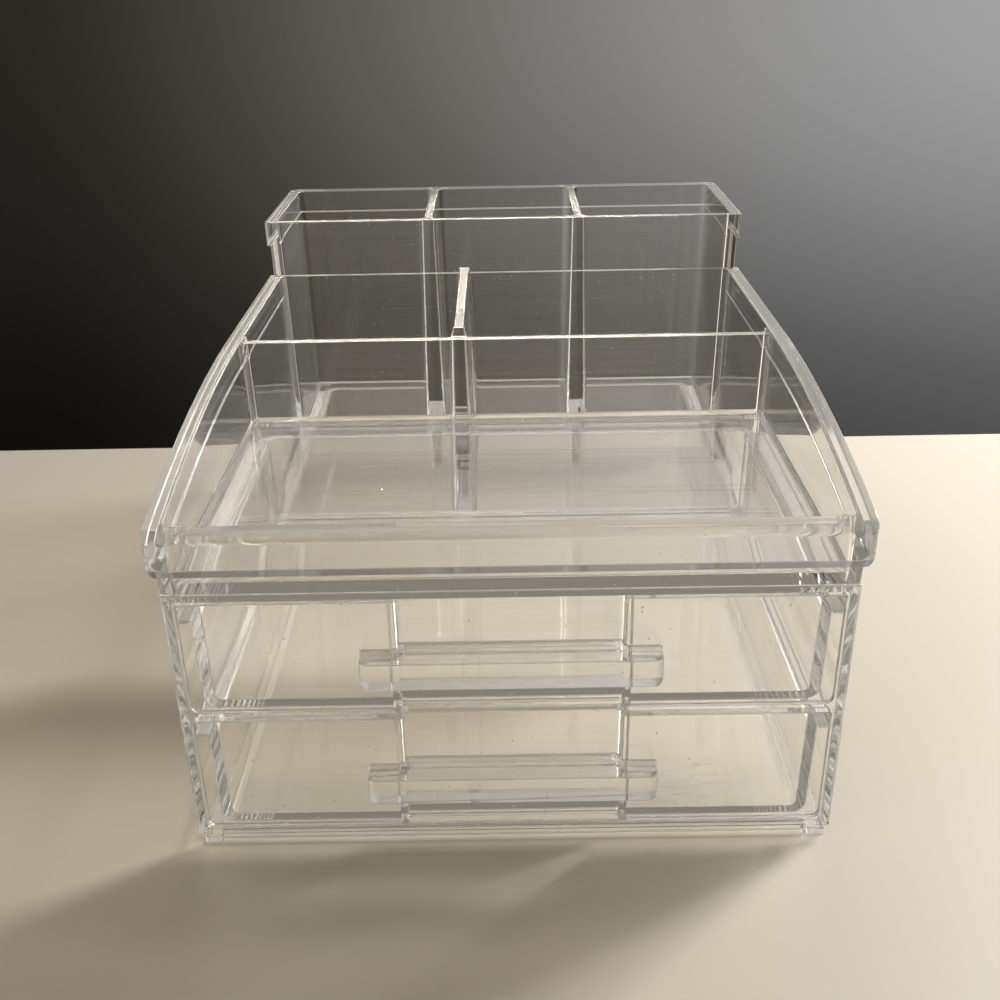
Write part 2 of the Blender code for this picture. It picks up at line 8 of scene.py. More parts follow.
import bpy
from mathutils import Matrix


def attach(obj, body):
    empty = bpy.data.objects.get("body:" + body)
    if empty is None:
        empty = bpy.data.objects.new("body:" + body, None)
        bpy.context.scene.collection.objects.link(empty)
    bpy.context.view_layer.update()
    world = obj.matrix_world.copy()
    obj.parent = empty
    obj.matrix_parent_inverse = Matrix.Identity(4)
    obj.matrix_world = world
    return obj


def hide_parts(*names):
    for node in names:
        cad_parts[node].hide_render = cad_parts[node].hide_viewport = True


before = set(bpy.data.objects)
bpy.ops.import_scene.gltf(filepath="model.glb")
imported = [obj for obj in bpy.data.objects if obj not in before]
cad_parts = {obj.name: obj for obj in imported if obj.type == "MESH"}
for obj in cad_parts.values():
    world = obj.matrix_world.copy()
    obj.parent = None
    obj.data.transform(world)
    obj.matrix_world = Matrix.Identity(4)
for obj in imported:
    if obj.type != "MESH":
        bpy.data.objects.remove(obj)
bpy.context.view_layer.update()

import logging
import math
from dataclasses import dataclass, field
from enum import Enum

import bmesh
import bpy
from mathutils import Matrix, Vector

LOG = logging.getLogger("organizer")
MM = 0.001

SENSOR_WIDTH_MM = 36.0
MANY_BOUNCES = 48
MANY_SEE_THROUGH = 64

Point = tuple[float, float, float]
Colour = tuple[float, float, float]
# A smooth change: the value where it starts and ends, and the result at and beyond either.
Fade = tuple[float, float, float, float]
EVEN: Point = (1.0, 1.0, 1.0)


class Body(Enum):
    """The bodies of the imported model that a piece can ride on."""

    CASE = "case"
    TRAY = "tray"
    LOWER_DRAWER = "lower_tub"
    UPPER_DRAWER = "upper_tub"


class Slot(Enum):
    """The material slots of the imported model."""

    CASE = "case_acrylic"
    TRAY = "tray_acrylic"
    LOWER_DRAWER = "lower_drawer_acrylic"
    UPPER_DRAWER = "upper_drawer_acrylic"


class NodeBench:
    """Small helper that places and links the nodes of one tree."""

    def __init__(self, tree: bpy.types.NodeTree) -> None:
        """Keep the tree.

        Args:
            tree: the node tree to fill.
        """
        self.tree = tree
        self.column = 0

    def add(self, kind: str, **settings: object) -> bpy.types.Node:
        """Add a node and set its properties.

        Args:
            kind: Blender's name of the node type.
            settings: properties of the node.

        Returns:
            The new node.
        """
        node = self.tree.nodes.new(kind)
        self.column += 1
        node.location = (-1600 + 180 * (self.column % 10), 400 - 220 * (self.column // 10))
        for name, value in settings.items():
            setattr(node, name, value)
        return node

    def link(self, source: bpy.types.NodeSocket, target: bpy.types.NodeSocket) -> None:
        """Join two sockets."""
        self.tree.links.new(source, target)

    def math(self, operation: str, *values: object) -> bpy.types.NodeSocket:
        """Add a Math node.

        Args:
            operation: Blender's name of the operation.
            values: numbers, or sockets to link.

        Returns:
            The result's socket.
        """
        node = self.add("ShaderNodeMath", operation=operation)
        for socket, value in zip(node.inputs, values):
            if isinstance(value, bpy.types.NodeSocket):
                self.link(value, socket)
            else:
                socket.default_value = value
        return node.outputs[0]

    def stacked(
        self, operation: str, layers: tuple[tuple[bpy.types.NodeSocket, float], ...]
    ) -> bpy.types.NodeSocket:
        """Scale several masks and put them together.

        Args:
            operation: how two layers go together, such as ADD.
            layers: each mask with its strength.

        Returns:
            The result's socket.
        """
        scaled = [self.math("MULTIPLY", mask, strength) for mask, strength in layers]
        total = scaled[0]
        for layer in scaled[1:]:
            total = self.math(operation, total, layer)
        return total

    def fade(self, value: bpy.types.NodeSocket, change: Fade) -> bpy.types.NodeSocket:
        """Smoothly map a range of a value to another range.

        Args:
            value: the socket to map.
            change: the value where the change starts and ends, and the two results.

        Returns:
            The result's socket.
        """
        low, high, first, last = change
        node = self.add("ShaderNodeMapRange", interpolation_type="SMOOTHSTEP")
        self.link(value, node.inputs["Value"])
        node.inputs["From Min"].default_value = low
        node.inputs["From Max"].default_value = high
        node.inputs["To Min"].default_value = first
        node.inputs["To Max"].default_value = last
        return node.outputs["Result"]

    def blend(
        self,
        share: bpy.types.NodeSocket,
        first: Colour | bpy.types.NodeSocket,
        last: Colour | bpy.types.NodeSocket,
    ) -> bpy.types.NodeSocket:
        """Mix two colours.

        Args:
            share: 0 for the first colour, 1 for the last.
            first: a colour, or a socket to link.
            last: a colour, or a socket to link.

        Returns:
            The mixed colour's socket.
        """
        node = self.add("ShaderNodeMix", data_type="RGBA")
        self.link(share, node.inputs[0])
        for socket, colour in ((node.inputs[6], first), (node.inputs[7], last)):
            if isinstance(colour, bpy.types.NodeSocket):
                self.link(colour, socket)
            else:
                socket.default_value = (*colour, 1.0)
        return node.outputs[2]

    def noise(
        self,
        place: bpy.types.NodeSocket,
        scale: float,
        detail: float,
        stretch: Point = EVEN,
        turn: float = 0.0,
    ) -> bpy.types.NodeSocket:
        """Noise in the piece's own space.

        Args:
            place: the Object coordinates.
            scale: features for each metre.
            detail: octaves.
            stretch: scale of the pattern along each axis.
            turn: turn about the vertical, in degrees.

        Returns:
            The noise factor's socket.
        """
        mapping = self.add("ShaderNodeMapping")
        mapping.inputs["Scale"].default_value = stretch
        mapping.inputs["Rotation"].default_value = (math.radians(turn / 3), 0.0, math.radians(turn))
        self.link(place, mapping.inputs["Vector"])
        node = self.add("ShaderNodeTexNoise")
        node.inputs["Scale"].default_value = scale
        node.inputs["Detail"].default_value = detail
        self.link(mapping.outputs["Vector"], node.inputs["Vector"])
        return node.outputs["Fac"]


@dataclass(frozen=True)
class ClearAcrylic:
    """Polished clear acrylic: mould waves, hairline scratches, scuffs, worn edges, and painted
    light.

    A scale is in features for each metre, and a turn in degrees. A blur is roughness that a mask
    adds, a frost is the clarity that it takes away. An edge is a rounded one, and a land is a
    narrow flat between two of them. The rounded edges lose clarity partly as wear and partly as a
    painted highlight, and the lands that face up lose it in patches as painted light, the light
    that a wall would pipe up from the table.
    """

    name: str
    wave_scale: float
    tint: Colour = (0.999, 0.998, 0.994)
    refraction: float = 1.49
    depth_colour: Colour = (0.85, 0.89, 0.88)
    depth_density: float = 1.2
    shadow_tint: Colour = (0.992, 0.991, 0.988)
    cross_shadow: Colour = (0.40, 0.395, 0.385)
    painted_deep_glow: Colour = (0.22, 0.205, 0.175)
    lost_depth: float = 18.5
    edge_shadow: Colour = (0.42, 0.41, 0.39)
    along_depth: Fade = (0.6, 0.9, 0.0, 1.0)
    along_width: Fade = (0.6, 0.9, 0.0, 0.06)
    wave_height: float = 0.20 * MM
    wave_stretch: Point = (1.0, 0.8, 1.2)
    wave_turn: float = 10.0
    scratch_scale: float = 30.0
    scratch_stretch: Point = (0.8, 22.0, 9.0)
    scratch_turns: tuple[float, float] = (24.0, -61.0)
    scratch_patches: tuple[float, float] = (9.0, 13.0)
    scratch_line: Fade = (0.0, 0.012, 1.0, 0.0)
    scratch_patch: Fade = (0.68, 0.76, 0.0, 1.0)
    scratch_blur: float = 0.12
    scratch_frost: float = 0.15
    speck_scale: float = 420.0
    speck_dot: Fade = (0.10, 0.16, 1.0, 0.0)
    speck_share: Fade = (0.965, 0.97, 0.0, 1.0)
    speck_frost: float = 0.8
    speck_tone: Colour = (0.86, 0.84, 0.78)
    scuff_scale: float = 45.0
    scuff_turn: float = 20.0
    scuff_patch: Fade = (0.62, 0.78, 0.0, 1.0)
    scuff_blur: float = 0.025
    edge_scale: float = 90.0
    edge_turn: float = 5.0
    edge_wear_and_highlight: Fade = (0.35, 0.65, 0.70, 1.0)
    edge_blur: float = 0.12
    edge_frost_and_highlight: float = 0.45
    land_scale: float = 40.0
    land_light_patches: Fade = (0.30, 0.70, 0.80, 1.0)
    land_blur: float = 0.06
    land_painted_light: float = 0.18
    land_facing: Fade = (0.4, 0.8, 0.1, 1.0)

    def build(self) -> bpy.types.Material:
        """Make the material.

        Returns:
            A material of procedural nodes.
        """
        material = bpy.data.materials.new(self.name)
        material.use_nodes = True
        material.diffuse_color = (*self.tint, 0.4)
        bench = NodeBench(material.node_tree)
        shader = material.node_tree.nodes["Principled BSDF"]
        output = material.node_tree.nodes["Material Output"]
        shader.inputs["IOR"].default_value = self.refraction
        place = bench.add("ShaderNodeTexCoord").outputs["Object"]
        edge = bench.add("ShaderNodeAttribute", attribute_name="rounded_edge").outputs["Fac"]
        land = bench.add("ShaderNodeAttribute", attribute_name="land").outputs["Fac"]
        self.wear(bench, place, shader, edge, land)
        self.relief(bench, place, shader, bench.math("MAXIMUM", edge, land))
        self.shadow(bench, shader, output, edge)
        volume = bench.add("ShaderNodeVolumeAbsorption")
        volume.inputs["Color"].default_value = (*self.depth_colour, 1.0)
        volume.inputs["Density"].default_value = self.depth_density
        bench.link(volume.outputs[0], output.inputs["Volume"])
        return material

    def scratches(self, bench: NodeBench, place: bpy.types.NodeSocket) -> bpy.types.NodeSocket:
        """Hairlines in two directions, only in patches.

        Args:
            bench: the tree's bench.
            place: the Object coordinates.

        Returns:
            A mask's socket, 1 on a scratch.
        """
        masks = []
        for turn, patch in zip(self.scratch_turns, self.scratch_patches):
            lines = bench.noise(place, self.scratch_scale, 0.0, self.scratch_stretch, turn)
            hairline = bench.math("ABSOLUTE", bench.math("SUBTRACT", lines, 0.5))
            sharp = bench.fade(hairline, self.scratch_line)
            where = bench.fade(bench.noise(place, patch, 1.0, turn=turn), self.scratch_patch)
            masks.append(bench.math("MULTIPLY", sharp, where))
        return bench.math("MAXIMUM", *masks)

    def specks(self, bench: NodeBench, place: bpy.types.NodeSocket) -> bpy.types.NodeSocket:
        """Sparse dust and tiny chips, under half a millimetre across.

        Args:
            bench: the tree's bench.
            place: the Object coordinates.

        Returns:
            A mask's socket, 1 on a speck.
        """
        cells = bench.add("ShaderNodeTexVoronoi")
        cells.inputs["Scale"].default_value = self.speck_scale
        bench.link(place, cells.inputs["Vector"])
        dot = bench.fade(cells.outputs["Distance"], self.speck_dot)
        split = bench.add("ShaderNodeSeparateColor")
        bench.link(cells.outputs["Color"], split.inputs[0])
        rare = bench.fade(split.outputs[0], self.speck_share)
        return bench.math("MULTIPLY", dot, rare)

    def wear(
        self,
        bench: NodeBench,
        place: bpy.types.NodeSocket,
        shader: bpy.types.Node,
        edge: bpy.types.NodeSocket,
        land: bpy.types.NodeSocket,
    ) -> None:
        """Feed colour, roughness and clarity from the masks of wear and of painted light: rounded
        edges are whitened partly as wear and partly as a painted highlight, and lands that face up
        as painted light.

        Args:
            bench: the tree's bench.
            place: the Object coordinates.
            shader: the Principled shader.
            edge: 1 on rounded edges.
            land: 1 on narrow flat faces, such as the tops of the walls and of the rim.
        """
        scratches = self.scratches(bench, place)
        specks = self.specks(bench, place)
        rubbing = bench.noise(place, self.scuff_scale, 1.0, turn=self.scuff_turn)
        scuffs = bench.fade(rubbing, self.scuff_patch)
        # Rounded edges lose clarity partly as wear and partly as a painted highlight.
        grain = bench.noise(place, self.edge_scale, 1.0, turn=self.edge_turn)
        worn_highlit_edge = bench.math("MULTIPLY", edge, bench.fade(grain, self.edge_wear_and_highlight))
        # Painted light: lands that face up are whitened in random patches, as if lit by light piped
        # up the walls.
        facing = bench.add("ShaderNodeSeparateXYZ")
        bench.link(bench.add("ShaderNodeTexCoord").outputs["Normal"], facing.inputs[0])
        upward = bench.fade(facing.outputs["Z"], self.land_facing)
        light_patches = bench.fade(bench.noise(place, self.land_scale, 2.0), self.land_light_patches)
        painted_light_land = bench.math("MULTIPLY", bench.math("MULTIPLY", land, upward), light_patches)

        blurs = (
            (scratches, self.scratch_blur),
            (scuffs, self.scuff_blur),
            (worn_highlit_edge, self.edge_blur),
            (land, self.land_blur),
        )
        bench.link(bench.stacked("ADD", blurs), shader.inputs["Roughness"])
        # Clarity lost to scratches and dust, to wear and a painted highlight on edges, and to
        # painted light on lands.
        frost_and_painted_light = (
            (worn_highlit_edge, self.edge_frost_and_highlight),
            (painted_light_land, self.land_painted_light),
            (scratches, self.scratch_frost),
            (specks, self.speck_frost),
        )
        clear = bench.math("SUBTRACT", 1.0, bench.stacked("MAXIMUM", frost_and_painted_light))
        bench.link(clear, shader.inputs["Transmission Weight"])
        bench.link(bench.blend(specks, self.tint, self.speck_tone), shader.inputs["Base Color"])

    def relief(
        self,
        bench: NodeBench,
        place: bpy.types.NodeSocket,
        shader: bpy.types.Node,
        narrow: bpy.types.NodeSocket,
    ) -> None:
        """Bump of the mould's slow waves, which bend what is seen in and through a wall.

        Args:
            bench: the tree's bench.
            place: the Object coordinates.
            shader: the Principled shader.
            narrow: 1 on the edges and narrow faces, which have no waves.
        """
        waves = bench.noise(place, self.wave_scale, 0.0, self.wave_stretch, self.wave_turn)
        swell = bench.add("ShaderNodeBump")
        bench.link(bench.math("SUBTRACT", 1.0, narrow), swell.inputs["Strength"])
        swell.inputs["Distance"].default_value = self.wave_height
        bench.link(waves, swell.inputs["Height"])
        bench.link(swell.outputs["Normal"], shader.inputs["Normal"])

    def shadow(
        self,
        bench: NodeBench,
        shader: bpy.types.Node,
        output: bpy.types.Node,
        edge: bpy.types.NodeSocket,
    ) -> None:
        """Let lamps and bounced light through as clear plastic does, less where walls stand
        across the depth, which the key light meets at a low angle, and least at the edges.

        Args:
            bench: the tree's bench.
            shader: the Principled shader.
            output: the material's output.
            edge: 1 on rounded edges.
        """
        path = bench.add("ShaderNodeLightPath")
        through = bench.add("ShaderNodeBsdfTransparent")
        facing = bench.add("ShaderNodeSeparateXYZ")
        bench.link(bench.add("ShaderNodeTexCoord").outputs["Normal"], facing.inputs[0])
        across = bench.math(
            "MAXIMUM",
            bench.fade(bench.math("ABSOLUTE", facing.outputs["Y"]), self.along_depth),
            bench.fade(bench.math("ABSOLUTE", facing.outputs["X"]), self.along_width),
        )
        wall = bench.blend(across, self.shadow_tint, self.cross_shadow)
        bench.link(bench.blend(edge, wall, self.edge_shadow), through.inputs["Color"])
        mix = bench.add("ShaderNodeMixShader")
        passing = bench.math(
            "MAXIMUM", path.outputs["Is Shadow Ray"], path.outputs["Is Diffuse Ray"]
        )
        bench.link(passing, mix.inputs[0])
        bench.link(shader.outputs[0], mix.inputs[1])
        bench.link(through.outputs[0], mix.inputs[2])
        # Painted glow: a ray deeper than lost_depth ends on an even emitted colour, in place of the
        # light that it would still gather.
        glow = bench.add("ShaderNodeEmission")
        glow.inputs["Color"].default_value = (*self.painted_deep_glow, 1.0)
        last = bench.add("ShaderNodeMixShader")
        lost = bench.math("GREATER_THAN", path.outputs["Ray Depth"], self.lost_depth)
        bench.link(lost, last.inputs[0])
        bench.link(mix.outputs[0], last.inputs[1])
        bench.link(glow.outputs[0], last.inputs[2])
        bench.link(last.outputs[0], output.inputs["Surface"])


@dataclass(frozen=True)
class TableTop:
    """Satin cream table top with a faint mottle."""

    name: str = "table_top"
    pale: Colour = (0.76, 0.71, 0.62)
    deep: Colour = (0.73, 0.68, 0.59)
    mottle_scale: float = 6.0
    mottle_detail: float = 4.0
    roughness: float = 0.45

    def build(self) -> bpy.types.Material:
        """Make the material.

        Returns:
            A material of procedural nodes.
        """
        material = bpy.data.materials.new(self.name)
        material.use_nodes = True
        bench = NodeBench(material.node_tree)
        shader = material.node_tree.nodes["Principled BSDF"]
        place = bench.add("ShaderNodeTexCoord").outputs["Object"]
        mottle = bench.noise(place, self.mottle_scale, self.mottle_detail)
        bench.link(bench.blend(mottle, self.pale, self.deep), shader.inputs["Base Color"])
        shader.inputs["Roughness"].default_value = self.roughness
        return material


@dataclass
class GateMarks:
    """Little domed spots left where the mould's gates were, set out by a Geometry Nodes tree."""

    name: str
    body: Body
    slot: Slot
    points: list[Point]
    diameter: float = 1.8 * MM
    height: float = 0.35 * MM
    facets: int = 16
    rings: int = 8
    unit_radius: float = 0.5

    def tree(self, material: bpy.types.Material) -> bpy.types.GeometryNodeTree:
        """Build the tree that puts a flattened dome on each point.

        Args:
            material: the finish of the spots.

        Returns:
            The tree, with its sizes as named inputs.
        """
        tree = bpy.data.node_groups.new(f"{self.name}_tree", "GeometryNodeTree")
        sockets = tree.interface
        sockets.new_socket("Points", in_out="INPUT", socket_type="NodeSocketGeometry")
        sockets.new_socket("Diameter", in_out="INPUT", socket_type="NodeSocketFloat")
        sockets.new_socket("Height", in_out="INPUT", socket_type="NodeSocketFloat")
        sockets.new_socket("Facets", in_out="INPUT", socket_type="NodeSocketInt")
        sockets.new_socket("Marks", in_out="OUTPUT", socket_type="NodeSocketGeometry")
        bench = NodeBench(tree)
        entry = bench.add("NodeGroupInput")
        dome = bench.add("GeometryNodeMeshUVSphere")
        bench.link(entry.outputs["Facets"], dome.inputs["Segments"])
        dome.inputs["Rings"].default_value = self.rings
        dome.inputs["Radius"].default_value = self.unit_radius
        size = bench.add("ShaderNodeCombineXYZ")
        bench.link(entry.outputs["Diameter"], size.inputs["X"])
        bench.link(entry.outputs["Diameter"], size.inputs["Y"])
        bench.link(entry.outputs["Height"], size.inputs["Z"])
        scatter = bench.add("GeometryNodeInstanceOnPoints")
        bench.link(entry.outputs["Points"], scatter.inputs["Points"])
        bench.link(dome.outputs["Mesh"], scatter.inputs["Instance"])
        bench.link(size.outputs[0], scatter.inputs["Scale"])
        solid = bench.add("GeometryNodeRealizeInstances")
        bench.link(scatter.outputs[0], solid.inputs[0])
        dressed = bench.add("GeometryNodeSetMaterial")
        dressed.inputs["Material"].default_value = material
        bench.link(solid.outputs[0], dressed.inputs["Geometry"])
        bench.link(dressed.outputs[0], bench.add("NodeGroupOutput").inputs["Marks"])
        return tree

    def build(self, material: bpy.types.Material) -> bpy.types.Object:
        """Make the spots as one plain mesh on their body.

        Args:
            material: the finish of the spots.

        Returns:
            The piece.
        """
        mesh = bpy.data.meshes.new(self.name)
        mesh.from_pydata(self.points, [], [])
        piece = bpy.data.objects.new(self.name, mesh)
        bpy.context.scene.collection.objects.link(piece)
        tree = self.tree(material)
        marks = piece.modifiers.new("gate_marks", "NODES")
        marks.node_group = tree
        values = {"Diameter": self.diameter, "Height": self.height, "Facets": self.facets}
        for item in tree.interface.items_tree:
            if item.in_out == "INPUT" and item.name in values:
                marks[item.identifier] = values[item.name]
        bake(piece)
        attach(piece, self.body.value)
        return piece


def bake(piece: bpy.types.Object) -> None:
    """Turn an object with modifiers into a plain mesh.

    Args:
        piece: the object, which keeps its name and loses its modifiers.
    """
    graph = bpy.context.evaluated_depsgraph_get()
    graph.update()
    mesh = bpy.data.meshes.new_from_object(piece.evaluated_get(graph), depsgraph=graph)
    piece.modifiers.clear()
    piece.data = mesh
    mesh.name = piece.name


@dataclass
class Moulding:
    """One injection-moulded piece, made from a copy of the solids of its nodes."""

    name: str
    nodes: tuple[str, ...]
    body: Body
    slot: Slot
    finish: ClearAcrylic
    edge_radius: float = 0.4 * MM
    edge_segments: int = 2
    edge_angle: float = math.radians(50)
    land_width: float = 7.6 * MM
    band_width: float = 12.0 * MM
    same_land: float = 0.95
    rounded_share: float = 0.3
    flat_angle: float = math.radians(0.5)
    flat_weight: int = 100
    weld: float = 0.001 * MM
    gates: list[Point] = field(default_factory=list)

    def cleared(self, source: bpy.types.Mesh, target: bpy.types.Mesh) -> None:
        """Merge loose triangles into whole faces, but leave narrow bands in triangles, because
        a band that runs round in a ring can't be one face.

        Args:
            source: the mesh to read.
            target: the mesh to write, which can be the same.
        """
        shape = bmesh.new()
        shape.from_mesh(source)
        bmesh.ops.remove_doubles(shape, verts=shape.verts, dist=self.weld)
        bmesh.ops.dissolve_limit(
            shape, angle_limit=self.flat_angle, verts=shape.verts, edges=shape.edges
        )
        bands = [
            face
            for face in shape.faces
            if len(face.verts) > 4
            and 2.0 * face.calc_area() < self.band_width * face.calc_perimeter()
        ]
        bmesh.ops.triangulate(shape, faces=bands)
        shape.to_mesh(target)
        shape.free()

    def copied(self, node: str) -> bpy.types.Object:
        """Copy a node's mesh, merge its loose triangles and clear its flat faces.

        Args:
            node: name of the node.

        Returns:
            A closed solid of whole faces.
        """
        mesh = bpy.data.meshes.new(f"{node}_moulded")
        self.cleared(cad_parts[node].data, mesh)
        solid = bpy.data.objects.new(f"{node}_moulded", mesh)
        bpy.context.scene.collection.objects.link(solid)
        return solid

    def joined(self) -> bpy.types.Object:
        """Join the solids of the moulding's nodes into one skin without inner faces.

        Returns:
            The moulding's object.
        """
        solids = [self.copied(node) for node in self.nodes]
        whole = solids[0]
        for other in solids[1:]:
            union = whole.modifiers.new("join", "BOOLEAN")
            union.operation = "UNION"
            union.solver = "EXACT"
            union.object = other
            bake(whole)
            bpy.data.objects.remove(other, do_unlink=True)
            self.cleared(whole.data, whole.data)
        whole.name = self.name
        return whole

    def rounded(self, whole: bpy.types.Object) -> None:
        """Round the edges, keep the flats flat, and mark both kinds of face.

        Args:
            whole: the moulding's object.
        """
        flat = bpy.data.materials.new("flat")
        edge = bpy.data.materials.new("edge")
        whole.data.materials.clear()
        whole.data.materials.append(flat)
        whole.data.materials.append(edge)
        rounding = whole.modifiers.new("rounding", "BEVEL")
        rounding.width = self.edge_radius
        rounding.segments = self.edge_segments
        rounding.limit_method = "ANGLE"
        rounding.angle_limit = self.edge_angle
        rounding.use_clamp_overlap = False
        rounding.miter_outer = "MITER_ARC"
        rounding.material = 1
        whole.data.shade_smooth()
        weighted = whole.modifiers.new("weighted", "WEIGHTED_NORMAL")
        weighted.weight = self.flat_weight
        bake(whole)
        self.marked(whole.data)
        bpy.data.materials.remove(flat)
        bpy.data.materials.remove(edge)

    def marked(self, mesh: bpy.types.Mesh) -> None:
        """Mark the rounded edges, and the lands: the narrow flats that lie between two of them.

        Args:
            mesh: the rounded mesh, whose edge faces carry the second material.
        """
        rims = {key for face in mesh.polygons if face.material_index for key in face.edge_keys}
        edges = [float(face.material_index) for face in mesh.polygons]
        lands = [0.0] * len(mesh.polygons)
        narrow: dict[int, bpy.types.MeshPolygon] = {}
        users: dict[tuple[int, int], list[int]] = {}
        for face in mesh.polygons:
            if face.material_index:
                face.material_index = 0
                continue
            sides = {
                key: (mesh.vertices[key[0]].co - mesh.vertices[key[1]].co).length
                for key in face.edge_keys
            }
            outline = sum(sides.values())
            width = 2.0 * face.area / outline * (2.0 if len(sides) == 3 else 1.0)
            if width > self.land_width:
                continue
            narrow[face.index] = face
            for key in sides:
                users.setdefault(key, []).append(face.index)
            rounded = sum(length for key, length in sides.items() if key in rims)
            if rounded > self.rounded_share * outline:
                lands[face.index] = 1.0
        open_ends = [index for index in narrow if lands[index]]
        while open_ends:
            face = narrow[open_ends.pop()]
            for other in (index for key in face.edge_keys for index in users[key]):
                if not lands[other] and face.normal.dot(narrow[other].normal) > self.same_land:
                    lands[other] = 1.0
                    open_ends.append(other)
        mesh.attributes.new("rounded_edge", "FLOAT", "FACE").data.foreach_set("value", edges)
        mesh.attributes.new("land", "FLOAT", "FACE").data.foreach_set("value", lands)
        mesh.materials.clear()

    def build(self) -> bpy.types.Object:
        """Make the moulding, dress it and set it on its body.

        Returns:
            The piece.
        """
        whole = self.joined()
        self.rounded(whole)
        material = self.finish.build()
        whole.data.materials.append(material)
        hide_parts(*self.nodes)
        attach(whole, self.body.value)
        LOG.info("%s: %d faces on %s", self.name, len(whole.data.polygons), self.body.value)
        if self.gates:
            spots = GateMarks(f"{self.name}_gate_marks", self.body, self.slot, self.gates)
            piece = spots.build(material)
            LOG.info("%s: %d faces", piece.name, len(piece.data.polygons))
        return whole


@dataclass
class Organizer:
    """The whole object: case, tray and two drawers."""

    middle_of_depth: float = 165.7 * MM
    lower_floor: float = 10.1 * MM
    upper_floor: float = 62.1 * MM
    gate_depth: float = 10.0 * MM

    def mouldings(self) -> list[Moulding]:
        """State the four mouldings.

        Returns:
            The mouldings in the order in which they are made.
        """
        near = self.gate_depth - self.middle_of_depth
        return [
            Moulding(
                "case_moulding",
                ("drawer_case",),
                Body.CASE,
                Slot.CASE,
                ClearAcrylic("case_clear", wave_scale=17.0, cross_shadow=(0.72, 0.71, 0.69)),
            ),
            Moulding(
                "tray_moulding",
                ("top_tray",),
                Body.TRAY,
                Slot.TRAY,
                ClearAcrylic("tray_clear", wave_scale=20.0, cross_shadow=(0.88, 0.87, 0.85)),
            ),
            Moulding(
                "lower_drawer_moulding",
                ("lower_drawer_tub", "lower_drawer_front"),
                Body.LOWER_DRAWER,
                Slot.LOWER_DRAWER,
                ClearAcrylic("lower_drawer_clear", wave_scale=8.0, wave_height=0.45 * MM),
                gates=[(0.0, near, self.lower_floor)],
            ),
            Moulding(
                "upper_drawer_moulding",
                ("upper_drawer",),
                Body.UPPER_DRAWER,
                Slot.UPPER_DRAWER,
                ClearAcrylic("upper_drawer_clear", wave_scale=9.0, wave_height=0.45 * MM),
                gates=[(0.0, near, self.upper_floor)],
            ),
        ]

    def build(self) -> list[bpy.types.Object]:
        """Make every moulding.

        Returns:
            The pieces.
        """
        return [moulding.build() for moulding in self.mouldings()]


@dataclass
class Table:
    """Plain pale table top that ends a hand's breadth behind the organizer."""

    rear: float = 0.2177
    reach: float = 20.0
    drop: float = 0.2 * MM
    finish: TableTop = field(default_factory=TableTop)

    def build(self) -> bpy.types.Object:
        """Make the table top.

        Returns:
            The stage object.
        """
        mesh = bpy.data.meshes.new("table")
        corners = [
            (-self.reach, -self.reach, -self.drop),
            (self.reach, -self.reach, -self.drop),
            (self.reach, self.rear, -self.drop),
            (-self.reach, self.rear, -self.drop),
        ]
        mesh.from_pydata(corners, [], [(0, 1, 2, 3)])
        mesh.materials.append(self.finish.build())
        table = bpy.data.objects.new("table", mesh)
        bpy.context.scene.collection.objects.link(table)
        return table


@dataclass
class Lamp:
    """One soft box that looks at a point."""

    name: str
    place: Point
    size: tuple[float, float]
    power: float
    colour: Colour
    target: Point = (0.0, 0.0, 0.08)
    spread: float = math.pi
    mirrored: bool = True

    def build(self) -> bpy.types.Object:
        """Make the lamp.

        Returns:
            The lamp's object.
        """
        light = bpy.data.lights.new(self.name, "AREA")
        light.shape = "RECTANGLE"
        light.size, light.size_y = self.size
        light.energy = self.power
        light.color = self.colour
        light.spread = self.spread
        lamp = bpy.data.objects.new(self.name, light)
        bpy.context.scene.collection.objects.link(lamp)
        lamp.location = self.place
        lamp.visible_glossy = self.mirrored
        aim = Vector(self.target) - Vector(self.place)
        lamp.rotation_euler = aim.to_track_quat("-Z", "Y").to_euler()
        return lamp


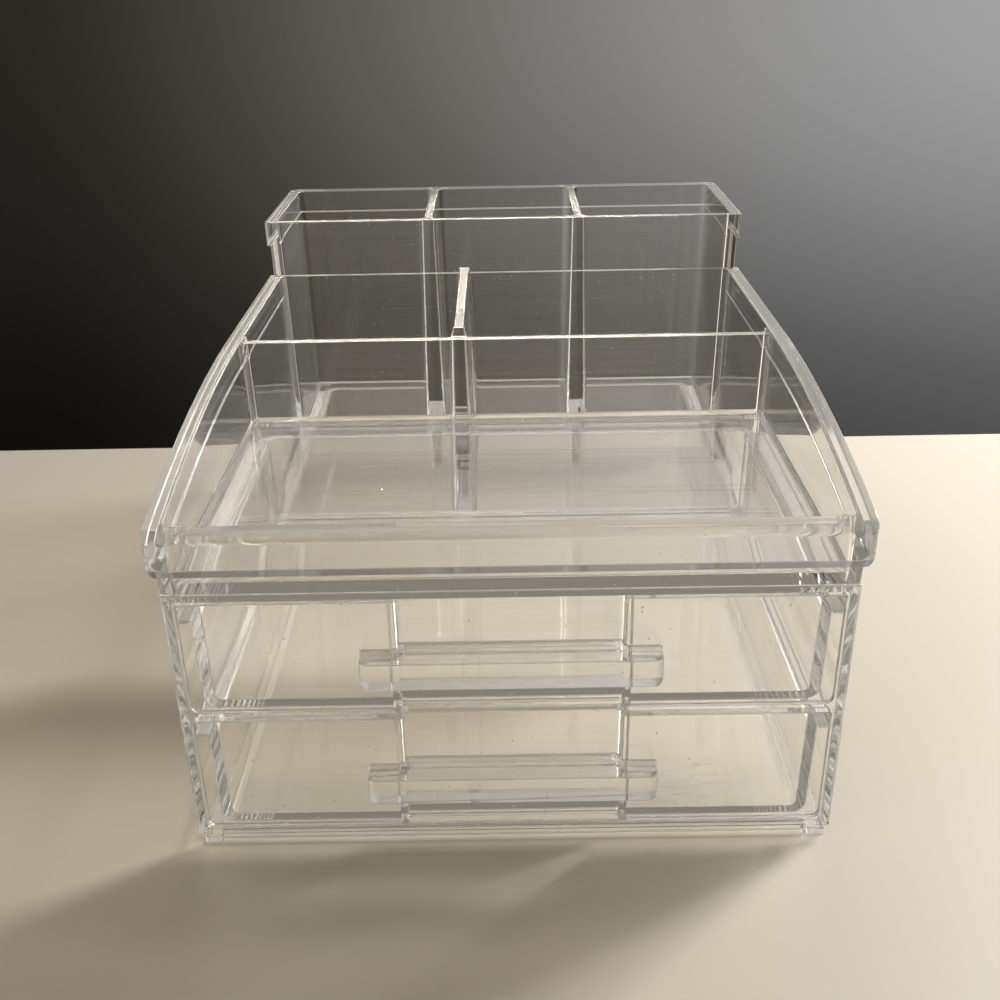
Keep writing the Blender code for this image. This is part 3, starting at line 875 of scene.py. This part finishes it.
@dataclass
class Studio:
    """Lamps, the room that the plastic shows, and the camera."""

    ambient: Colour = (1.0, 0.87, 0.70)
    ambient_strength: float = 0.25
    pale_room: Colour = (0.46, 0.43, 0.38)
    behind: Fade = (0.0, 0.55, 0.0, 1.0)
    wall_height: Fade = (-0.40, -0.04, 0.0365, 0.176)
    wall_side: Fade = (-0.40, 0.50, 0.11, 2.15)
    wall_top: Fade = (0.10, 0.45, 0.0, 0.28)
    wall_red: Fade = (-0.40, 0.30, 1.14, 1.01)
    wall_blue: Fade = (-0.40, 0.30, 0.82, 1.0)
    focal_length: float = 41.42
    pitch: float = 26.05
    yaw: float = -0.34
    roll: float = -1.11
    viewpoint: Point = (-0.00081, -0.50092, 0.30755)

    def lamps(self) -> list[Lamp]:
        """State the lamps.

        Returns:
            A warm key from the right rear, a weak fill from the left, and a gridded soft box
            overhead, which stands for the light that real walls pass down inside.
        """
        return [
            Lamp("key", (1.03, 0.53, 0.78), (0.32, 0.32), 22.0, (1.0, 0.97, 0.93)),
            Lamp("fill", (-1.3, -0.9, 1.3), (1.2, 0.8), 1.2, (1.0, 0.94, 0.85)),
            Lamp(
                "glow",
                (-0.012, 0.018, 0.5),
                (0.20, 0.255),
                0.52,
                (1.0, 0.93, 0.81),
                target=(-0.012, 0.018, 0.0),
                spread=0.12,
                mirrored=False,
            ),
        ]

    def room(self) -> None:
        """World: a plain even light, and a grey wall behind the table that the eye and the
        clear plastic see."""
        world = bpy.data.worlds.new("room")
        bpy.context.scene.world = world
        world.use_nodes = True
        bench = NodeBench(world.node_tree)
        nodes = world.node_tree.nodes
        plain = nodes["Background"]
        plain.inputs["Color"].default_value = (*self.ambient, 1.0)
        plain.inputs["Strength"].default_value = self.ambient_strength
        place = bench.add("ShaderNodeTexCoord").outputs["Generated"]
        split = bench.add("ShaderNodeSeparateXYZ")
        bench.link(place, split.inputs[0])
        across, deep, height = split.outputs
        # Painted shade and light on the wall: darker at the left and low down, lighter at the right
        # and high up.
        low = bench.fade(height, self.wall_height)
        wall = bench.math("MULTIPLY", low, bench.fade(across, self.wall_side))
        wall = bench.math("ADD", wall, bench.fade(height, self.wall_top))
        wall_colour = bench.add("ShaderNodeCombineXYZ")
        red = bench.fade(across, self.wall_red)
        blue = bench.fade(across, self.wall_blue)
        bench.link(bench.math("MULTIPLY", wall, red), wall_colour.inputs[0])
        bench.link(wall, wall_colour.inputs[1])
        bench.link(bench.math("MULTIPLY", wall, blue), wall_colour.inputs[2])
        behind = bench.fade(deep, self.behind)
        room = bench.blend(behind, self.pale_room, wall_colour.outputs[0])
        seen = bench.add("ShaderNodeBackground")
        bench.link(room, seen.inputs["Color"])
        path = bench.add("ShaderNodeLightPath")
        looks = bench.math(
            "MAXIMUM",
            path.outputs["Is Camera Ray"],
            bench.math(
                "MAXIMUM", path.outputs["Is Glossy Ray"], path.outputs["Is Transmission Ray"]
            ),
        )
        mix = bench.add("ShaderNodeMixShader")
        bench.link(looks, mix.inputs[0])
        bench.link(plain.outputs[0], mix.inputs[1])
        bench.link(seen.outputs[0], mix.inputs[2])
        bench.link(mix.outputs[0], nodes["World Output"].inputs["Surface"])

    def camera(self) -> bpy.types.Object:
        """Stand the camera where the photograph was taken.

        Returns:
            The camera's object.
        """
        pitch, yaw, roll = (math.radians(turn) for turn in (self.pitch, self.yaw, self.roll))
        ahead = Vector(
            (math.sin(yaw) * math.cos(pitch), math.cos(yaw) * math.cos(pitch), -math.sin(pitch))
        )
        level = ahead.cross(Vector((0.0, 0.0, 1.0))).normalized()
        upright = level.cross(ahead)
        right = level * math.cos(roll) + upright * math.sin(roll)
        up = upright * math.cos(roll) - level * math.sin(roll)
        lens = bpy.data.cameras.new("camera")
        lens.lens = self.focal_length
        lens.sensor_width = SENSOR_WIDTH_MM
        camera = bpy.data.objects.new("camera", lens)
        bpy.context.scene.collection.objects.link(camera)
        matrix = Matrix((right, up, -ahead)).transposed().to_4x4()
        matrix.translation = Vector(self.viewpoint)
        camera.matrix_world = matrix
        bpy.context.scene.camera = camera
        return camera

    def paths(self) -> None:
        """Let light pass through many walls, and show colours as they are written."""
        scene = bpy.context.scene
        scene.view_settings.view_transform = "Standard"
        scene.cycles.max_bounces = MANY_BOUNCES
        scene.cycles.transmission_bounces = MANY_BOUNCES
        scene.cycles.glossy_bounces = MANY_BOUNCES
        scene.cycles.transparent_max_bounces = MANY_SEE_THROUGH

    def build(self) -> None:
        """Make the lamps, the room and the camera."""
        self.camera()
        self.room()
        for lamp in self.lamps():
            lamp.build()
        self.paths()


def main() -> None:
    """Build the organizer, its table and its studio."""
    logging.basicConfig(level=logging.INFO, format="%(name)s: %(message)s")
    Studio().build()
    Table().build()
    pieces = Organizer().build()
    LOG.info("%d mouldings", len(pieces))


if __name__ == "__main__":
    main()
